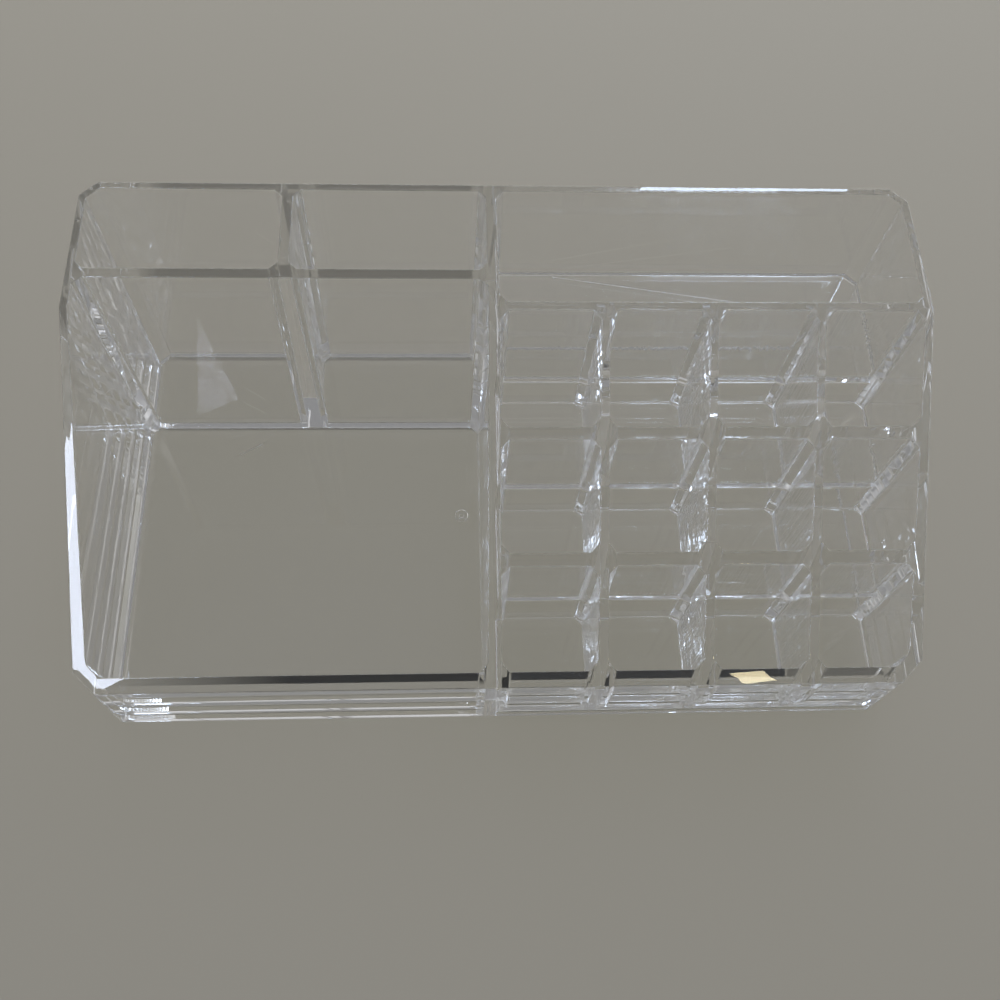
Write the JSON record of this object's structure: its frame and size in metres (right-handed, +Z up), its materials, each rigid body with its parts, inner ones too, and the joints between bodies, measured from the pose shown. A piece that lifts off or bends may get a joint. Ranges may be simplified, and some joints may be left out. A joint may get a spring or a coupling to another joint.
{
  "type": "vanity organizer",
  "caption": "Clear plastic vanity organizer: a front tray and rear bays on the left, and lipstick cells stepping down in front of a raised tray on the right.",
  "frame": {"origin": "middle of the base, on the table", "axes": "+X to the right along the width, +Y to the back, +Z up"},
  "size_m": [0.241, 0.135, 0.085],
  "materials": {
    "clear_plastic": "polished, crystal clear"
  },
  "bodies": {
    "root": {"base_plate": "clear_plastic", "left_side_wall": "clear_plastic", "right_side_wall": "clear_plastic", "rear_wall": "clear_plastic", "front_wall": "clear_plastic", "rear_left_corner": "clear_plastic", "rear_right_corner": "clear_plastic", "front_left_corner": "clear_plastic", "front_right_corner": "clear_plastic", "main_divider": "clear_plastic", "cross_divider": "clear_plastic", "bay_divider": "clear_plastic", "raised_tray_floor": "clear_plastic", "grid_rear_wall": "clear_plastic", "upper_row_wall": "clear_plastic", "lower_row_wall": "clear_plastic", "upper_row_floor": "clear_plastic", "middle_row_floor": "clear_plastic", "lower_row_floor": "clear_plastic", "upper_partition_1": "clear_plastic", "upper_partition_2": "clear_plastic", "upper_partition_3": "clear_plastic", "middle_partition_1": "clear_plastic", "middle_partition_2": "clear_plastic", "middle_partition_3": "clear_plastic", "lower_partition_1": "clear_plastic", "lower_partition_2": "clear_plastic", "lower_partition_3": "clear_plastic"}
  },
  "joints": []
}
